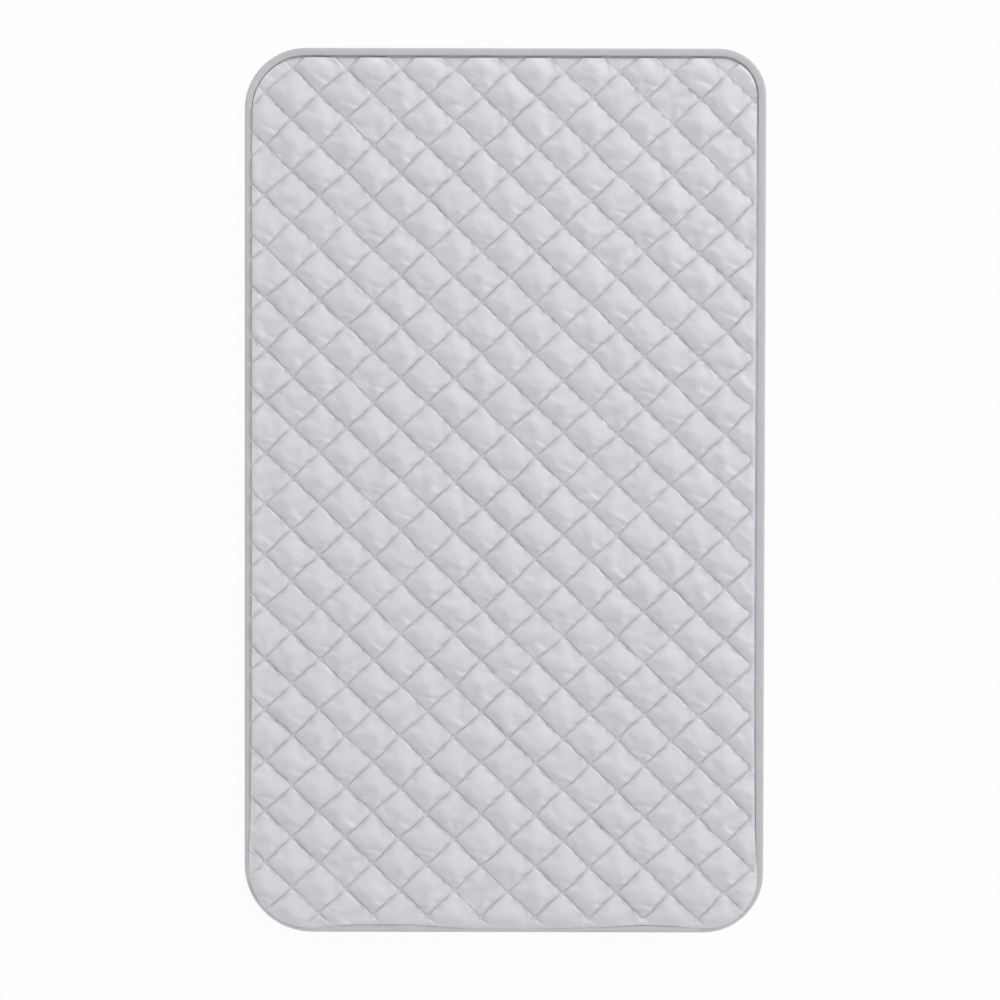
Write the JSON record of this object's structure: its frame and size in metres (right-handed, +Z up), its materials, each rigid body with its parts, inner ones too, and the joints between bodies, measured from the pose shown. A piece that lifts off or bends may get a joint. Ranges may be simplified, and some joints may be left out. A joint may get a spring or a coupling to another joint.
{
  "type": "ironing pad",
  "caption": "Loose quilted ironing pad with a silver-coated face stitched in diamonds, fibre padding, plain backing and a folded tape round its rounded rectangular edge.",
  "frame": {"origin": "middle of the underside, on the surface that the pad lies on", "axes": "+X across the pad, +Y along its length, +Z up through the quilted face"},
  "size_m": [0.5, 0.85, 0.0071],
  "materials": {
    "silver_cloth": "silver-coated satin weave",
    "wadding": "loose fibre",
    "backing_cotton": "matt plain weave",
    "binding_tape": "matt twill tape",
    "sewing_thread": "spun thread"
  },
  "bodies": {
    "root": {"backing_cloth": "backing_cotton", "batting": "wadding", "binding_thread_back": "sewing_thread", "binding_thread_face": "sewing_thread", "edge_binding": "binding_tape", "face_cloth": "silver_cloth", "quilting_thread_01": "sewing_thread", "quilting_thread_02": "sewing_thread", "quilting_thread_03": "sewing_thread", "quilting_thread_04": "sewing_thread", "quilting_thread_05": "sewing_thread", "quilting_thread_06": "sewing_thread", "quilting_thread_07": "sewing_thread", "quilting_thread_08": "sewing_thread", "quilting_thread_09": "sewing_thread", "quilting_thread_10": "sewing_thread", "quilting_thread_11": "sewing_thread", "quilting_thread_12": "sewing_thread", "quilting_thread_13": "sewing_thread", "quilting_thread_14": "sewing_thread", "quilting_thread_15": "sewing_thread", "quilting_thread_16": "sewing_thread", "quilting_thread_17": "sewing_thread", "quilting_thread_18": "sewing_thread"}
  },
  "joints": []
}
